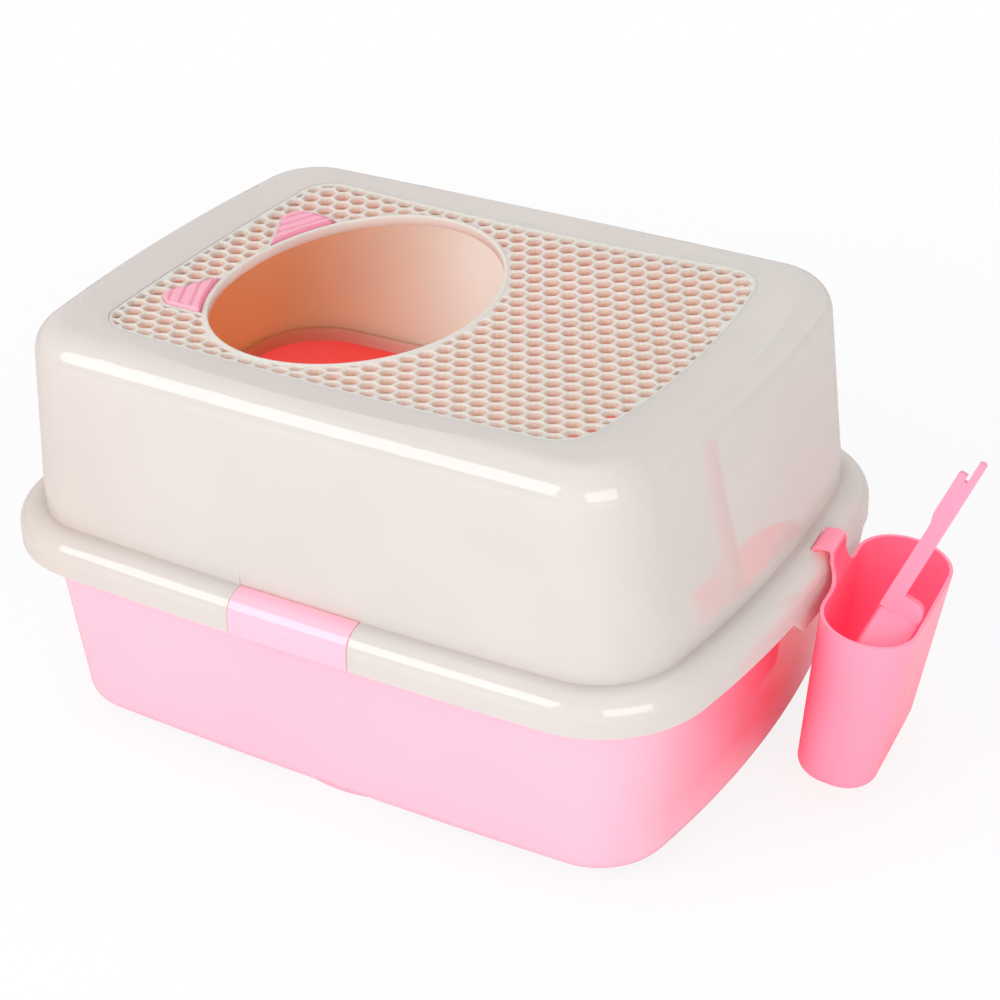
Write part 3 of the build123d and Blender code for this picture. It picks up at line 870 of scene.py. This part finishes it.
class LITTERBOX_OT_stage(bpy.types.Operator):
    """Sets the floor, the softboxes, the surroundings and the camera"""

    bl_idname = "litterbox.stage"
    bl_label = "Stage"

    def execute(self, context):
        scene = context.scene
        stage = scene.litter_box_stage
        mesh = bpy.data.meshes.new("studio_floor")
        far = 9.0
        corners = [(-far, -far, 0), (far, -far, 0), (far, far, 0), (-far, far, 0)]
        mesh.from_pydata(corners, [], [(0, 1, 2, 3)])
        floor = bpy.data.objects.new("studio_floor", mesh)
        scene.collection.objects.link(floor)
        paper, tree, out = blank("white_paper_floor")
        ray = add(tree, "ShaderNodeLightPath")
        matt = add(tree, "ShaderNodeBsdfDiffuse", values={"Color": (0.93, 0.93, 0.93, 1)})
        glow = add(tree, "ShaderNodeEmission", values={"Color": (1, 1, 1, 1), "Strength": 1.0})
        # Near the box the floor keeps a sixth of its own shading, which fades out to plain white.
        near, gone = 0.45, 1.3
        spot = add(tree, "ShaderNodeNewGeometry").outputs["Position"]
        away = add(tree, "ShaderNodeVectorMath", {0: spot}, operation="LENGTH")
        white = add(
            tree,
            "ShaderNodeMapRange",
            {"Value": away.outputs["Value"]},
            {"From Min": near, "From Max": gone, "To Min": 0.84, "To Max": 1.0},
        )
        seen = add(
            tree,
            "ShaderNodeMath",
            {0: ray.outputs["Is Camera Ray"], 1: white.outputs["Result"]},
            operation="MULTIPLY",
        )
        both = add(tree, "ShaderNodeMixShader", {0: seen.outputs[0], 1: matt.outputs[0], 2: glow.outputs[0]})
        tree.links.new(both.outputs[0], out.inputs["Surface"])
        mesh.materials.append(paper)

        world = bpy.data.worlds.new("white_surroundings")
        world.use_nodes = True
        tree = world.node_tree
        tree.nodes.clear()
        ray = add(tree, "ShaderNodeLightPath")
        direct = add(
            tree,
            "ShaderNodeMath",
            {0: ray.outputs["Is Camera Ray"], 1: ray.outputs["Is Glossy Ray"]},
            operation="MAXIMUM",
        )
        direct = add(
            tree,
            "ShaderNodeMath",
            {0: direct.outputs[0], 1: ray.outputs["Is Transmission Ray"]},
            operation="MAXIMUM",
        )
        level = add(
            tree, "ShaderNodeMapRange", {"Value": direct.outputs[0]}, {"To Min": stage.sky, "To Max": 1.0}
        )
        light = add(tree, "ShaderNodeBackground", {"Strength": level.outputs[0]}, {"Color": (1, 1, 1, 1)})
        add(tree, "ShaderNodeOutputWorld", {"Surface": light.outputs[0]})
        scene.world = world

        middle = (0, 0, 0.15)
        softbox("key_softbox", (-1.0, -1.87, 1.25), middle, 1.6, 1.2, stage.key)
        softbox("fill_softbox", (1.8, -1.44, 0.87), middle, 1.6, 1.2, stage.fill)
        softbox("top_softbox", (-0.1, 0.2, 2.1), middle, 1.8, 1.8, stage.top)

        lens = bpy.data.cameras.new("camera")
        lens.sensor_width = 36
        lens.lens = stage.lens
        camera = bpy.data.objects.new("camera", lens)
        place = Vector(stage.camera_place)
        look = (Vector(stage.camera_aim) - place).to_track_quat("-Z", "Y")
        turn = Quaternion((0, 0, 1), stage.camera_roll)
        camera.rotation_euler = (look @ turn).to_euler()
        camera.location = place
        scene.collection.objects.link(camera)
        scene.camera = camera
        scene.view_settings.view_transform = "Standard"
        return {"FINISHED"}


class LITTERBOX_PT_panel(bpy.types.Panel):
    """Lists the steps"""

    bl_label = "Litter box"
    bl_space_type = "VIEW_3D"
    bl_region_type = "UI"
    bl_category = "Litter box"

    def draw(self, context):
        for step in STEPS:
            self.layout.operator(step.bl_idname)


STEPS = (
    LITTERBOX_OT_stage,
    LITTERBOX_OT_pan,
    LITTERBOX_OT_hood,
    LITTERBOX_OT_panel,
    LITTERBOX_OT_ears,
    LITTERBOX_OT_holder,
    LITTERBOX_OT_scoop,
)
GROUPS = (LitterBoxFinish, LitterBoxStage)


def register():
    for item in (*GROUPS, *STEPS, LITTERBOX_PT_panel):
        bpy.utils.register_class(item)
    bpy.types.Scene.litter_box_finish = PointerProperty(type=LitterBoxFinish)
    bpy.types.Scene.litter_box_stage = PointerProperty(type=LitterBoxStage)


def unregister():
    del bpy.types.Scene.litter_box_finish
    del bpy.types.Scene.litter_box_stage
    for item in reversed((*GROUPS, *STEPS, LITTERBOX_PT_panel)):
        bpy.utils.unregister_class(item)


def main():
    register()
    bpy.ops.litterbox.stage()
    bpy.ops.litterbox.pan()
    bpy.ops.litterbox.hood()
    bpy.ops.litterbox.panel()
    bpy.ops.litterbox.ears()
    bpy.ops.litterbox.holder()
    bpy.ops.litterbox.scoop()


if __name__ == "__main__":
    main()
